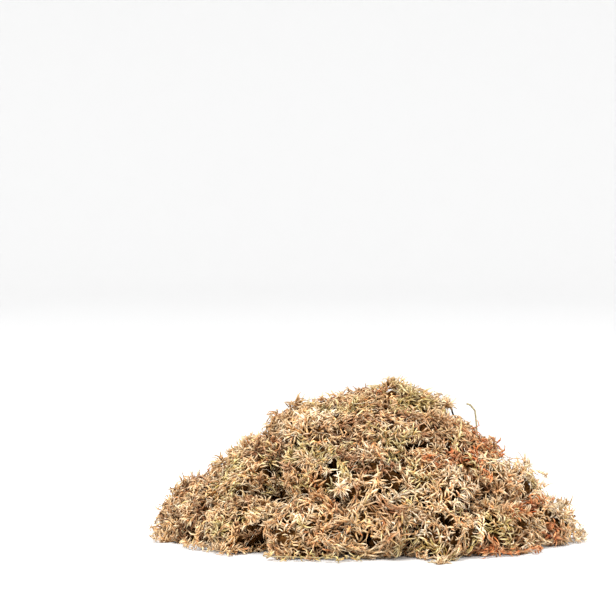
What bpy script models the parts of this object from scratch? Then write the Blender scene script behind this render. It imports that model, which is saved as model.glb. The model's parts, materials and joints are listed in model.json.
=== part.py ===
"""Heap of dried sphagnum moss: tangled tufts of leafy strands, with a few loose strands on them.

Metres, +Z up. +X is to the right of someone who looks along +Y.
The origin is the middle of the heap's box, on the surface that it lies on.
Each tuft keeps to its own cell of the heap, so that no tuft cuts into its neighbours.
"""

import math

import bmesh
import bpy
import numpy as np
from mathutils import Vector
from mathutils.bvhtree import BVHTree

# Heap: mean foot line, height and shape of the slope, and the steep lip at its foot
HALF_WIDTH = 0.190
HALF_DEPTH = 0.170
SLOPE_HEIGHT = 0.122
CROWN_SHIFT = 0.020
SLOPE_SHARE = 0.70
CROWN_ROUNDNESS = 4.0
LIP_HEIGHT = 0.014
LIP_SHARE = 0.07

SLOPE_PROBE = 0.006

# Swells and dips of the heap's surface, which fade out at its foot: x, y, height, spread
SWELL_FADE = 4.0
SWELLS = (
    (-0.150, 0.000, 0.006, 0.022),
    (-0.124, 0.010, -0.009, 0.024),
    (-0.086, 0.004, 0.010, 0.016),
    (0.024, 0.000, 0.006, 0.016),
    (0.052, -0.010, 0.004, 0.018),
    (0.092, 0.005, -0.019, 0.026),
    (0.108, 0.070, -0.016, 0.030),
    (0.128, 0.005, -0.016, 0.024),
    (0.112, -0.020, 0.010, 0.014),
    (0.140, -0.022, 0.011, 0.013),
    (0.168, 0.030, -0.056, 0.024),
    (0.166, 0.075, -0.018, 0.020),
    (0.174, -0.024, -0.038, 0.018),
    (0.000, 0.120, 0.008, 0.030),
    (-0.080, 0.095, -0.006, 0.025),
)

# Tufts: name, how many, share of the way from the axis to the foot line, depth below the surface
TUFT_RINGS = (
    ("tuft_foot", 16, 0.87, 0.019),
    ("tuft_slope", 13, 0.64, 0.022),
    ("tuft_upper", 8, 0.38, 0.023),
    ("tuft_crown", 4, 0.14, 0.023),
    ("tuft_inner_low", 5, 0.42, 0.072),
    ("tuft_inner_high", 2, 0.12, 0.072),
)
RING_WANDER = 0.0065
TURN_WANDER = 0.09
HEIGHT_WANDER = 0.003
LOWEST_MIDDLE = 0.012

# Tufts that stand out: the nearest one to x, y, z takes the place, the name and the tone
MARKED_TUFTS = (
    ("tuft_rust_right", (0.088, -0.068, 0.058), "rust"),
    ("tuft_pale_right", (0.139, -0.022, 0.038), "pale"),
    ("tuft_combed_front", (0.004, -0.128, 0.030), "straw"),
    ("tuft_olive_left", (-0.036, -0.086, 0.066), "olive"),
    ("tuft_ball_left", (-0.112, -0.104, 0.015), "straw"),
)

# Room between tufts, and the bundle of strands that each tuft is:
# strands run side by side from one end to the other, with a valley between each two
GAP = 0.0006
BUNDLE_STRANDS = 10
BUNDLE_STATIONS = 6
INSIDE_STRANDS = 5
INSIDE_STATIONS = 4
FACE_SHARE = 0.74
FACE_SLOPE = 1.35
FACE_WAVE = 0.16
ROOT_INWARD = 0.012
VALLEY_SINK = 0.0100
CREST_SINK = 0.0030
SINK_SHARE = 0.34
PROBE_STRIDE = 0.0015
VALLEY_FILL = (0.78, 0.90)
CREST_FILL = (0.93, 0.99)

# Loose leafy tips of the bundle's strands, which stand out of the heap and lean along it
TIP_PROUD = (0.002, 0.009)
TIP_LEAN = (0.003, 0.009)
TIP_FACING = 0.35

# Leafy strands that leave a tuft and arch over it or stand out of it
FREE_STRANDS = 2
ALONG_SPREAD = 0.9
ACROSS_SPREAD = 0.9
STRAND_LENGTH = (0.026, 0.040)
STRAND_RADIUS = 0.0028
STRAND_TIP_RADIUS = 0.0012
STRAND_STATIONS = 5
STRAND_SIDES = 3
STRAND_SWELL = 0.11
STRAND_FULL_TO = 0.45
STRAND_REACH = 1.15
LEAST_WANDER = 0.15
MORE_WANDER = 0.6
WAY_WANDER = 0.3
LOW_HEAP = 0.010
STRAND_RISE = math.radians(22)
STRAND_TURN = (math.radians(30), math.radians(95))
STRAND_PROUD = 0.0105
ROOT_DEPTH = 0.70
MOST_TRIES = 200
FLAT_WITHIN = math.radians(0.5)

# Single loose strands that lie on the heap: name, points on plan, radius, tone
LAID_STRANDS = (
    ("strand_green_diagonal", ((-0.054, -0.118), (-0.040, -0.106), (-0.014, -0.094)), 0.0030, "olive"),
    ("strand_back_slope", ((0.060, 0.104), (0.040, 0.090), (0.012, 0.092)), 0.0030, "straw"),
    ("twig_dark", ((0.054, -0.010), (0.066, -0.008), (0.086, -0.004)), 0.0013, "bark"),
    ("stem_hooked", ((0.115, -0.030), (0.107, -0.016), (0.096, -0.004)), 0.0012, "bark"),
)

# Single loose strands on the floor, against the heap's foot: name, turns from +X in degrees, radius, tone
FOOT_STRANDS = (
    ("strand_left_tip", (181.0, 203.0), 0.0034, "straw"),
    ("strand_left_low", (212.0, 234.0), 0.0034, "straw"),
    ("strand_front_flat", (245.0, 268.0), 0.0036, "olive"),
    ("strand_right_low", (300.0, 319.0), 0.0034, "rust"),
    ("strand_right_tip", (337.0, 357.0), 0.0026, "pale"),
    ("strand_back_low", (86.0, 110.0), 0.0034, "tan"),
)
FARTHEST_SHARE = 1.10
NEAREST_SHARE = 0.97
SHARE_STEP = 0.003
LOOSE_SPACING = 0.0040
LOOSE_SIDES = 4
LOOSE_SWELL = 0.16
ROOT_TAPER = (0.45, 1.6)
TIP_TAPER = (0.35, 2.2)
LOOSE_CLEARANCE = 0.0005
PROBE_STEP = 0.0005
HIGHEST_PROBE = 0.18
SETTLING_PASSES = 14
SETTLING_LIFT = 1.3
SETTLING_SAG = 0.35

# Steps in x and z that carry the bare stem up out of the heap and over in a hook
HOOK_STEPS = (
    (-0.0007, 0.009),
    (-0.0007, 0.009),
    (-0.0007, 0.0085),
    (-0.002, 0.005),
    (-0.003, 0.0025),
    (-0.0035, -0.0005),
    (-0.003, -0.003),
)

# Tone: colour, roughness
TONES = {
    "straw": ((0.56, 0.40, 0.22), 0.90),
    "tan": ((0.43, 0.27, 0.14), 0.92),
    "brown": ((0.27, 0.15, 0.075), 0.94),
    "olive": ((0.42, 0.37, 0.15), 0.90),
    "rust": ((0.47, 0.17, 0.07), 0.90),
    "pale": ((0.70, 0.60, 0.40), 0.88),
    "bark": ((0.10, 0.065, 0.04), 0.85),
}
TONE_ORDER = ("straw", "tan", "straw", "brown", "straw", "pale", "tan", "olive")

RANDOM_SEED = 41


def clear_scene():
    for old in list(bpy.data.objects):
        bpy.data.objects.remove(old, do_unlink=True)


def unit(vector):
    return vector / max(float(np.linalg.norm(vector)), 1e-9)


def heap_share(x, y):
    """0 on the heap's axis and 1 on its foot line."""
    plain = math.hypot(x / HALF_WIDTH, y / HALF_DEPTH)
    shifted = x - CROWN_SHIFT * max(0.0, 1.0 - plain)
    return math.hypot(shifted / HALF_WIDTH, y / HALF_DEPTH)


def heap_height(x, y):
    """Height of the heap's mean surface."""
    inward = max(0.0, 1.0 - heap_share(x, y))
    fall = inward / SLOPE_SHARE
    height = SLOPE_HEIGHT * fall / (1.0 + fall**CROWN_ROUNDNESS) ** (1.0 / CROWN_ROUNDNESS)
    height += LIP_HEIGHT * math.sqrt(min(1.0, inward / LIP_SHARE))
    fade = min(1.0, fall * SWELL_FADE)
    for swell_x, swell_y, swell_height, spread in SWELLS:
        away = ((x - swell_x) ** 2 + (y - swell_y) ** 2) / (2.0 * spread * spread)
        height += fade * swell_height * math.exp(-away)
    return height


def outward_at(point):
    """Direction out of the heap at a point near its surface."""
    x, y = point[0], point[1]
    fall_x = heap_height(x - SLOPE_PROBE, y) - heap_height(x + SLOPE_PROBE, y)
    fall_y = heap_height(x, y - SLOPE_PROBE) - heap_height(x, y + SLOPE_PROBE)
    return unit(np.array((fall_x, fall_y, 2.0 * SLOPE_PROBE)))


def ring_point(turn, share):
    """Point on plan in the direction of a turn, at a share of the way to the foot line."""
    x = HALF_WIDTH * share * math.cos(turn) + CROWN_SHIFT * (1.0 - share)
    return x, HALF_DEPTH * share * math.sin(turn)


def tuft_seeds(draw):
    """Name, middle and tone of every tuft, ring by ring."""
    tufts = []
    for ring, (name, count, share, depth) in enumerate(TUFT_RINGS):
        for index in range(count):
            turn = 2.0 * math.pi * (index + 0.5 * (ring % 2)) / count
            x, y = ring_point(turn + draw.uniform(-TURN_WANDER, TURN_WANDER), share)
            x += draw.uniform(-RING_WANDER, RING_WANDER)
            y += draw.uniform(-RING_WANDER, RING_WANDER)
            height = heap_height(x, y) - depth + draw.uniform(-HEIGHT_WANDER, HEIGHT_WANDER)
            middle = np.array((x, y, max(height, LOWEST_MIDDLE)))
            tone = TONE_ORDER[(index * 3 + ring * 2) % len(TONE_ORDER)]
            tufts.append([f"{name}_{index + 1:02d}", middle, tone])
    marked = {name for name, _, _ in MARKED_TUFTS}
    for name, place, tone in MARKED_TUFTS:
        free = [tuft for tuft in tufts if "inner" not in tuft[0] and tuft[0] not in marked]
        nearest = min(free, key=lambda tuft: float(np.linalg.norm(tuft[1] - np.array(place))))
        nearest[0], nearest[1], nearest[2] = name, np.array(place), tone
    return tufts


def cell_walls(middle, others):
    """Directions of the flat walls round a tuft's cell, and how far along them the walls stand."""
    towards = others - middle
    length = np.linalg.norm(towards, axis=1)
    normals = towards / length[:, None]
    return normals, normals @ middle + length / 2.0 - GAP / 2.0


def room_along(root, walls, direction, sink):
    """How far one can go from a tuft's root before its cell, the floor or the heap's surface ends."""
    normals, places = walls
    closing = normals @ direction
    distances = places - normals @ root
    room = float(np.min(np.where(closing > 1e-6, distances / np.maximum(closing, 1e-6), 1.0)))
    if direction[2] < 0.0:
        room = min(room, root[2] / -direction[2])
    reach = PROBE_STRIDE
    while reach < room:
        point = root + direction * reach
        height = heap_height(point[0], point[1])
        if point[2] > height - min(sink, height * SINK_SHARE):
            return reach
        reach += PROBE_STRIDE
    return room


def keep_inside(point, walls):
    """Bring a point back inside its cell and above the floor."""
    normals, places = walls
    for _ in range(4):
        excess = normals @ point - places
        worst = int(np.argmax(excess))
        if excess[worst] <= 0.0:
            break
        point = point - normals[worst] * excess[worst]
    point[2] = max(point[2], 0.0)
    return point


def mesh_object(name, bm):
    bmesh.ops.recalc_face_normals(bm, faces=bm.faces)
    mesh = bpy.data.meshes.new(name)
    bm.to_mesh(mesh)
    bm.free()
    made = bpy.data.objects.new(name, mesh)
    bpy.context.scene.collection.objects.link(made)
    return made


def bundle_direction(frame, row, column_share, wave):
    """Direction from a tuft's root to a place along the bundle, from -1 to 1, and round it."""
    outward, heading = frame
    across = np.cross(outward, heading)
    edge = math.atan(FACE_SLOPE)
    if column_share < FACE_SHARE:
        side = 2.0 * column_share / FACE_SHARE - 1.0
        side += FACE_WAVE * math.sin(math.pi * row + wave) * (1.0 - side * side)
        turn = math.atan(FACE_SLOPE * side)
    else:
        turn = edge + (column_share - FACE_SHARE) / (1.0 - FACE_SHARE) * 2.0 * (math.pi - edge)
    ring = outward * math.cos(turn) + across * math.sin(turn)
    return unit(ring + heading * FACE_SLOPE * row)


def bundle_point(direction, root, walls, frame, kind, draw):
    """Point of a tuft's surface: on a strand's crest, in a valley, or at a loose tip."""
    outward, heading = frame
    if kind == "tip" and direction @ outward < TIP_FACING:
        kind = "crest"
    room = room_along(root, walls, direction, VALLEY_SINK if kind == "valley" else CREST_SINK)
    if kind == "tip":
        proud = draw.uniform(*TIP_PROUD)
        room = min(room_along(root, walls, direction, -proud), room + CREST_SINK + proud)
    if direction[2] < 0.0 and room * -direction[2] > root[2] * 0.999:
        on_floor = root + direction * room
        on_floor[2] = 0.0
        return on_floor
    if kind == "tip":
        lean = heading * draw.uniform(*TIP_LEAN)
        return keep_inside(root + direction * room * CREST_FILL[1] + lean, walls)
    return root + direction * room * draw.uniform(*(CREST_FILL if kind == "crest" else VALLEY_FILL))


def tuft_core(name, root, walls, frame, strands, stations, draw):
    """Bundle of strands side by side, in one closed surface that is flat where it lies on the floor."""
    bm = bmesh.new()
    wave = draw.uniform(0.0, 2.0 * math.pi)
    columns = strands * 2
    tip_stations = draw.integers(0, stations, size=columns)
    rings = []
    for station in range(stations):
        row = 2.0 * (station + 0.5) / stations - 1.0
        ring = []
        for column in range(columns):
            direction = bundle_direction(frame, row, column / columns, wave)
            kind = "valley" if column % 2 else "crest"
            if kind == "crest" and station == tip_stations[column]:
                kind = "tip"
            ring.append(bm.verts.new(bundle_point(direction, root, walls, frame, kind, draw)))
        rings.append(ring)
    ends = []
    for direction in (-frame[1], frame[1]):
        ends.append(bm.verts.new(bundle_point(direction, root, walls, frame, "valley", draw)))
    for low, high in zip(rings, rings[1:]):
        for column in range(columns):
            following = (column + 1) % columns
            if column % 2:
                bm.faces.new((low[column], low[following], high[following]))
                bm.faces.new((low[column], high[following], high[column]))
            else:
                bm.faces.new((low[column], low[following], high[column]))
                bm.faces.new((low[following], high[following], high[column]))
    for column in range(columns):
        following = (column + 1) % columns
        bm.faces.new((ends[0], rings[0][following], rings[0][column]))
        bm.faces.new((ends[1], rings[-1][column], rings[-1][following]))
    return mesh_object(name, bm)


def strand_mesh(bm, points, radii, sides):
    """Leafy strand: rings turned by half a side from one to the next, and a pointed tip."""
    rings = []
    side = Vector((0.0, 0.0, 1.0))
    for index, point in enumerate(points[:-1]):
        ahead = (points[index + 1] - points[max(index - 1, 0)]).normalized()
        across = side.cross(ahead)
        if across.length < 0.2:
            across = Vector((1.0, 0.0, 0.0)).cross(ahead)
        across.normalize()
        side = ahead.cross(across)
        ring = []
        for corner in range(sides):
            turn = 2.0 * math.pi * (corner + 0.5 * (index % 2)) / sides
            offset = across * math.cos(turn) + side * math.sin(turn)
            ring.append(bm.verts.new(point + offset * radii[index]))
        rings.append(ring)
    tip = bm.verts.new(points[-1])
    bm.faces.new(rings[0][::-1])
    for index in range(len(rings) - 1):
        low, high = rings[index], rings[index + 1]
        for corner in range(sides):
            following = (corner + 1) % sides
            if index % 2:
                bm.faces.new((low[corner], high[following], high[corner]))
                bm.faces.new((low[corner], low[following], high[following]))
            else:
                bm.faces.new((low[corner], low[following], high[corner]))
                bm.faces.new((low[following], high[following], high[corner]))
    for corner in range(sides):
        bm.faces.new((rings[-1][corner], rings[-1][(corner + 1) % sides], tip))


def strand_radii(count, radius):
    """Thick in the middle, thinner at the root and thin at the tip, with swellings along it."""
    radii = []
    for index in range(count):
        along = index / (count - 1)
        thinned = max(0.0, along - STRAND_FULL_TO) / (1.0 - STRAND_FULL_TO)
        body = radius + (STRAND_TIP_RADIUS - radius) * thinned
        radii.append(body * (1.0 + STRAND_SWELL * (1 if index % 2 else -1)))
    return radii


def fits_cell(points, walls):
    """Whether a strand stays in its own cell, off the floor and near the heap's surface."""
    normals, places = walls
    reach = STRAND_RADIUS * STRAND_REACH
    for point in points:
        if np.any(normals @ point > places - reach) or point[2] < reach:
            return False
        if point[2] > max(heap_height(point[0], point[1]), LOW_HEAP) + STRAND_PROUD:
            return False
    return True


def strand_path(place, root, walls, frame, draw):
    """One strand that leaves the tuft and arches over it along the tuft's heading."""
    outward, heading = frame
    across = np.cross(outward, heading)
    for attempt in range(MOST_TRIES):
        wander = LEAST_WANDER + MORE_WANDER * attempt / MOST_TRIES
        start = outward + heading * (place[0] + draw.normal() * wander)
        start = unit(start + across * (place[1] + draw.normal() * wander))
        way = unit(heading + across * draw.normal() * (WAY_WANDER + wander))
        turn_by = draw.uniform(*STRAND_TURN)
        point = root + start * room_along(root, walls, start, VALLEY_SINK) * ROOT_DEPTH
        points = [point]
        stride = draw.uniform(*STRAND_LENGTH) / (STRAND_STATIONS - 1)
        for station in range(STRAND_STATIONS - 1):
            bend = STRAND_RISE + turn_by * station / (STRAND_STATIONS - 2)
            point = point + (outward * math.cos(bend) + way * math.sin(bend)) * stride
            points.append(point)
        if fits_cell(points[1:], walls):
            return points
    return None


def largest_body(made):
    """Keep the biggest closed body of a mesh and drop loose scraps and sealed hollows."""
    bm = bmesh.new()
    bm.from_mesh(made.data)
    bmesh.ops.dissolve_limit(bm, angle_limit=FLAT_WITHIN, verts=bm.verts, edges=bm.edges)
    bmesh.ops.triangulate(bm, faces=bm.faces)
    waiting = set(bm.verts)
    bodies = []
    while waiting:
        first = waiting.pop()
        body = {first}
        edge_of_body = [first]
        while edge_of_body:
            vert = edge_of_body.pop()
            for edge in vert.link_edges:
                other = edge.other_vert(vert)
                if other in waiting:
                    waiting.discard(other)
                    body.add(other)
                    edge_of_body.append(other)
        bodies.append(body)
    bodies.sort(key=len)
    for body in bodies[:-1]:
        bmesh.ops.delete(bm, geom=list(body), context="VERTS")
    bm.to_mesh(made.data)
    bm.free()


def fuse(core, strands):
    """Join a tuft's strands to its core in one closed solid.

    The exact solver leaves an edge that touches itself where a strand grazes the core.
    """
    repeats = bpy.data.collections.new("repeats")
    bpy.context.scene.collection.children.link(repeats)
    for strand in strands:
        bpy.context.scene.collection.objects.unlink(strand)
        repeats.objects.link(strand)
    union = core.modifiers.new("strands", "BOOLEAN")
    union.operation = "UNION"
    union.operand_type = "COLLECTION"
    union.solver = "MANIFOLD"
    union.collection = repeats
    bpy.context.view_layer.update()
    evaluated = core.evaluated_get(bpy.context.evaluated_depsgraph_get())
    joined = bpy.data.meshes.new_from_object(evaluated)
    core.modifiers.clear()
    core.data = joined
    for strand in strands:
        bpy.data.objects.remove(strand, do_unlink=True)
    bpy.data.collections.remove(repeats)
    largest_body(core)


def tone_material(tone):
    """Dry moss of one tone."""
    if tone in bpy.data.materials:
        return bpy.data.materials[tone]
    colour, roughness = TONES[tone]
    made = bpy.data.materials.new(tone)
    made.use_nodes = True
    shader = made.node_tree.nodes["Principled BSDF"]
    shader.inputs["Base Color"].default_value = (*colour, 1.0)
    shader.inputs["Roughness"].default_value = roughness
    shader.inputs["Metallic"].default_value = 0.0
    return made


def tuft_frame(name, middle, draw):
    """Direction that a tuft's open face looks in, down for an inner one, and that its strands run in."""
    if "inner" in name:
        return np.array((0.0, 0.0, -1.0)), np.array((1.0, 0.0, 0.0))
    outward = outward_at(middle)
    downhill = unit(np.array((outward[0], outward[1], -0.8)))
    heading = downhill if "combed" in name else draw.normal(size=3) + downhill * 0.5
    return outward, unit(heading - outward * float(heading @ outward))


def make_tuft(name, middle, tone, walls, draw):
    """A bundle with its free strands, as one solid."""
    frame = tuft_frame(name, middle, draw)
    if "inner" in name:
        core = tuft_core(name, middle, walls, frame, INSIDE_STRANDS, INSIDE_STATIONS, draw)
    else:
        root = keep_inside(middle - frame[0] * ROOT_INWARD, walls)
        root[2] = max(root[2], LOWEST_MIDDLE)
        core = tuft_core(name, root, walls, frame, BUNDLE_STRANDS, BUNDLE_STATIONS, draw)
        strands = []
        for index in range(FREE_STRANDS):
            side = (index + 0.5) / FREE_STRANDS * 2.0 - 1.0
            place = (-ALONG_SPREAD * draw.uniform(), ACROSS_SPREAD * side)
            path = strand_path(place, root, walls, frame, draw)
            if path is None:
                continue
            bm = bmesh.new()
            points = [Vector(point) for point in path]
            strand_mesh(bm, points, strand_radii(len(points), STRAND_RADIUS), STRAND_SIDES)
            strands.append(mesh_object(f"{name}_strand_{index}", bm))
        if strands:
            fuse(core, strands)
    core.data.materials.clear()
    core.data.materials.append(tone_material(tone))
    return core


def smooth_plan(points, spacing):
    """Evenly spaced points on the smooth curve through three points on plan."""
    start, middle, end = (np.array(point) for point in points)
    control = 2.0 * middle - 0.5 * (start + end)
    length = float(np.linalg.norm(middle - start) + np.linalg.norm(end - middle))
    count = max(6, int(round(length / spacing)))
    path = []
    for index in range(count + 1):
        t = index / count
        path.append((1 - t) ** 2 * start + 2 * t * (1 - t) * control + t * t * end)
    return path


def settle(plan, radius, heap):
    """Lower a strand on plan until it lies on the heap or the floor, clear of both."""
    least = radius * (1.0 + LOOSE_SWELL) + LOOSE_CLEARANCE
    floor = radius * (1.0 + LOOSE_SWELL)
    points = []
    for x, y in plan:
        z = HIGHEST_PROBE
        while z > floor:
            below = heap.find_nearest(Vector((x, y, z - PROBE_STEP)))
            if below[3] < least:
                break
            z -= min(max(PROBE_STEP, below[3] - least), z - floor + 1e-9)
        points.append(Vector((x, y, max(z, floor))))
    for _ in range(SETTLING_PASSES):
        for index in range(len(points) - 1):
            for share in (0.25, 0.5, 0.75):
                between = points[index].lerp(points[index + 1], share)
                short = least - heap.find_nearest(between)[3]
                if short > 0.0:
                    points[index].z += short * SETTLING_LIFT
                    points[index + 1].z += short * SETTLING_LIFT
        for index in range(1, len(points) - 1):
            mean = (points[index - 1].z + points[index + 1].z) / 2.0
            points[index].z = max(points[index].z, mean - LOOSE_SPACING * SETTLING_SAG)
    return points


def lean_on_foot(turns, radius, heap):
    """Route of a strand that lies on the floor, pushed in until it touches the heap's foot."""
    floor = radius * (1.0 + LOOSE_SWELL)
    start, end = (math.radians(turn) for turn in turns)
    count = max(6, int(round((end - start) * HALF_WIDTH / LOOSE_SPACING)))
    shares = []
    for index in range(count + 1):
        turn = start + (end - start) * index / count
        share = FARTHEST_SHARE
        while share > NEAREST_SHARE:
            x, y = ring_point(turn, share - SHARE_STEP)
            if heap.find_nearest(Vector((x, y, floor)))[3] < floor + LOOSE_CLEARANCE:
                break
            share -= SHARE_STEP
        shares.append(share)
    points = []
    for index in range(count + 1):
        nearby = shares[max(index - 1, 0):index + 2]
        turn = start + (end - start) * index / count
        points.append(Vector((*ring_point(turn, max(nearby)), floor)))
    return points


def make_loose_strand(name, points, radius, tone):
    """One strand of its own, thick in the middle and thin at both ends."""
    count = len(points)
    radii = []
    for index in range(count):
        from_root = ROOT_TAPER[0] + ROOT_TAPER[1] * index / count
        from_tip = TIP_TAPER[0] + TIP_TAPER[1] * (count - 1 - index) / count
        swell = 1.0 + LOOSE_SWELL * (1 if index % 2 else -1)
        radii.append(radius * min(1.0, from_root, from_tip) * swell)
    bm = bmesh.new()
    strand_mesh(bm, points, radii, LOOSE_SIDES)
    made = mesh_object(name, bm)
    made.data.materials.append(tone_material(tone))
    return made


def hooked(points):
    """Carry a stem on from its last point, up out of the heap and over in a small hook."""
    raised = list(points)
    for lean, rise in HOOK_STEPS:
        raised.append(raised[-1] + Vector((lean, 0.0, rise)))
    return raised


def centre_on_origin(pieces):
    """Move every piece so that the heap's box stands centred on the origin."""
    corners = np.array([vert.co[:] for piece in pieces for vert in piece.data.vertices])
    low, high = corners.min(axis=0), corners.max(axis=0)
    shift = Vector((-(low[0] + high[0]) / 2.0, -(low[1] + high[1]) / 2.0, -low[2]))
    for piece in pieces:
        for vert in piece.data.vertices:
            vert.co += shift


def build():
    clear_scene()
    draw = np.random.default_rng(RANDOM_SEED)
    tufts = tuft_seeds(draw)
    middles = np.array([tuft[1] for tuft in tufts])
    pieces = []
    for index, (name, middle, tone) in enumerate(tufts):
        walls = cell_walls(middle, np.delete(middles, index, axis=0))
        pieces.append(make_tuft(name, middle, tone, walls, draw))
    corners, faces = [], []
    for piece in pieces:
        first = len(corners)
        corners.extend(vert.co.copy() for vert in piece.data.vertices)
        faces.extend([first + index for index in face.vertices] for face in piece.data.polygons)
    heap = BVHTree.FromPolygons(corners, faces)
    for name, plan_points, radius, tone in LAID_STRANDS:
        points = settle(smooth_plan(plan_points, LOOSE_SPACING), radius, heap)
        if name == "stem_hooked":
            points = hooked(points)
        pieces.append(make_loose_strand(name, points, radius, tone))
    for name, turns, radius, tone in FOOT_STRANDS:
        pieces.append(make_loose_strand(name, lean_on_foot(turns, radius, heap), radius, tone))
    centre_on_origin(pieces)


build()
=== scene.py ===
import json
import math

import bpy
import numpy as np
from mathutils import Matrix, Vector
from mathutils.bvhtree import BVHTree


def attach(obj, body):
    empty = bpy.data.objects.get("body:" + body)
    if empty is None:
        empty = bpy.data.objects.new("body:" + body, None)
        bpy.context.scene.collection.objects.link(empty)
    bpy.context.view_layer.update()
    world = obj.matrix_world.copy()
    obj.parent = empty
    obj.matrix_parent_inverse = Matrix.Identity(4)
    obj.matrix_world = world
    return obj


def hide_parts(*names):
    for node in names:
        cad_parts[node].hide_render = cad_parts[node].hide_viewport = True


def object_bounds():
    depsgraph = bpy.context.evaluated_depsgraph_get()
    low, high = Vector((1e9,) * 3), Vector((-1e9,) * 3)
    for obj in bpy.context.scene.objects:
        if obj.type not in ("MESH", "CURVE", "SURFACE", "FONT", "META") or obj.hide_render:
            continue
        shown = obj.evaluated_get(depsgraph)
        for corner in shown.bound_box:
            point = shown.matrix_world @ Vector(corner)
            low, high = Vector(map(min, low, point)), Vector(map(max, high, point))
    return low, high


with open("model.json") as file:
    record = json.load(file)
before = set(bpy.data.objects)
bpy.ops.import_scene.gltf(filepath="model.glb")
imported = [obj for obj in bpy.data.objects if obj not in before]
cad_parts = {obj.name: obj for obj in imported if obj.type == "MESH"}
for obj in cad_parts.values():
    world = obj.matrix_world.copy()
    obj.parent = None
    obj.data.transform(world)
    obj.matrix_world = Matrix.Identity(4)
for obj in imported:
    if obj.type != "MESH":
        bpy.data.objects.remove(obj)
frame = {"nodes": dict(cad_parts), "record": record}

cad_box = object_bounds()

# Packed inner tufts
# Older moss, pressed together, that fills the middle and carries the outer tufts; its dark brown is partly
# peat dust and partly painted shade for the inside of the heap.
# Each one is its solid with the surface drawn in, split finer and roughened like matted fibre, and it has
# short branches pressed flat along the side that it lies on.
INNER_KEEP = 0.965
INNER_ROUGHNESS = 0.0007
FLOOR_TOUCH = 0.0006
ROUNDING_PASSES = 3
ROUNDING_SHARE = 0.6
PRESSED_BRANCHES = 150
PRESSED_LENGTH = (0.008, 0.013)
PRESSED_HEIGHT = (0.0006, 0.0030)
PRESSED_CURL = 1.2
PRESSED_SHADE = (0.6, 1.1)
# Tints of the matted cores: dark brown of peat-stained fibre, and at the same time painted shade for the
# gaps between strands where the cores show
PEAT_AND_SHADE_BROWN = (0.190, 0.080, 0.020)
PEAT_AND_SHADE_DARK = (0.045, 0.017, 0.004)

# Along a branch: share of its length and of its thickness at each ring, in pairs like overlapping leaves
LEAF_RINGS = ((0.00, 0.50), (0.34, 1.05), (0.68, 0.84))
BUD_RINGS = ((0.00, 0.60), (0.50, 1.10))
BRANCH_SIDES = 3
BRANCH_THICKNESS = (0.00042, 0.00092)
BRANCH_TWIST = 0.05
LEAF_WIDTH_SPREAD = (0.84, 1.16)
LEAF_SHADE_SPREAD = (0.88, 1.12)
# How much darker and deeper in colour each branch grows towards its root, over the first ROOT_SHARE of its
# length: browner older leaves there, and painted shade where the branches meet the stem and each other
ROOT_BROWNING_AND_SHADE = 1.40
ROOT_SHARE = 0.6


def unit(vectors):
    """Vectors of length 1."""
    return vectors / np.maximum(np.linalg.norm(vectors, axis=-1, keepdims=True), 1e-9)


def turned(vectors, axes, angles):
    """Vectors turned about axes, one by one."""
    cosine, sine = np.cos(angles)[..., None], np.sin(angles)[..., None]
    along = np.sum(vectors * axes, axis=-1, keepdims=True)
    return vectors * cosine + np.cross(axes, vectors) * sine + axes * along * (1.0 - cosine)


def node_triangles(name):
    """A solid's triangles: triangle, corner, axis."""
    mesh = frame["nodes"][name].data
    places = np.empty(len(mesh.vertices) * 3)
    mesh.vertices.foreach_get("co", places)
    mesh.calc_loop_triangles()
    corners = np.empty(len(mesh.loop_triangles) * 3, dtype=np.int32)
    mesh.loop_triangles.foreach_get("vertices", corners)
    return places.reshape(-1, 3)[corners.reshape(-1, 3)]


def welded_mesh(name):
    """A solid's corners, each one once, and its faces."""
    soup = node_triangles(name).reshape(-1, 3)
    corners, faces = np.unique(np.round(soup, 6), axis=0, return_inverse=True)
    return corners, faces.reshape(-1, 3)


def split_in_four(places, faces):
    """Every triangle split at the middles of its sides."""
    sides = np.sort(faces[:, [0, 1, 1, 2, 2, 0]].reshape(-1, 2), axis=1)
    pairs, which = np.unique(sides, axis=0, return_inverse=True)
    middles = which.reshape(-1, 3) + len(places)
    a, b, c = faces.T
    ab, bc, ca = middles.T
    quarters = np.stack(((a, ab, ca), (ab, b, bc), (ca, bc, c), (ab, bc, ca)))
    return np.concatenate((places, places[pairs].mean(axis=1))), quarters.transpose(0, 2, 1).reshape(-1, 3)


def rounded_off(places, faces):
    """Corners moved towards the mean of their neighbours, so that no sharp tip is left."""
    sides = faces[:, [0, 1, 1, 2, 2, 0]].reshape(-1, 2)
    for _ in range(ROUNDING_PASSES):
        total, count = np.zeros_like(places), np.zeros(len(places))
        np.add.at(total, sides[:, 0], places[sides[:, 1]])
        np.add.at(count, sides[:, 0], 1.0)
        places = (1.0 - ROUNDING_SHARE) * places + ROUNDING_SHARE * total / count[:, None]
    return places


def matted_core(name, keep, roughness, draw):
    """The solid of a tuft drawn in from its surface and roughened, still flat where it lies on the floor."""
    welded, faces = welded_mesh(name)
    a, b, c = faces.T
    faces = faces[(a != b) & (b != c) & (c != a)]
    places, faces = split_in_four(welded, faces)
    on_floor = places[:, 2] < FLOOR_TOUCH
    places = rounded_off(places, faces)
    middle = places.mean(axis=0)
    places = middle + (places - middle) * keep
    places += draw.normal(size=places.shape) * roughness
    places[:, 2] = np.where(on_floor, 0.0, np.maximum(places[:, 2], 0.0))
    # The core's tint, at random from near black to dark brown: peat-stained fibre, and painted shade for the
    # gaps where the core shows
    shade = draw.uniform(0.0, 1.0, size=(len(places), 1))
    return places, faces, np.array(PEAT_AND_SHADE_DARK) * (1.0 - shade) + np.array(PEAT_AND_SHADE_BROWN) * shade


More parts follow.
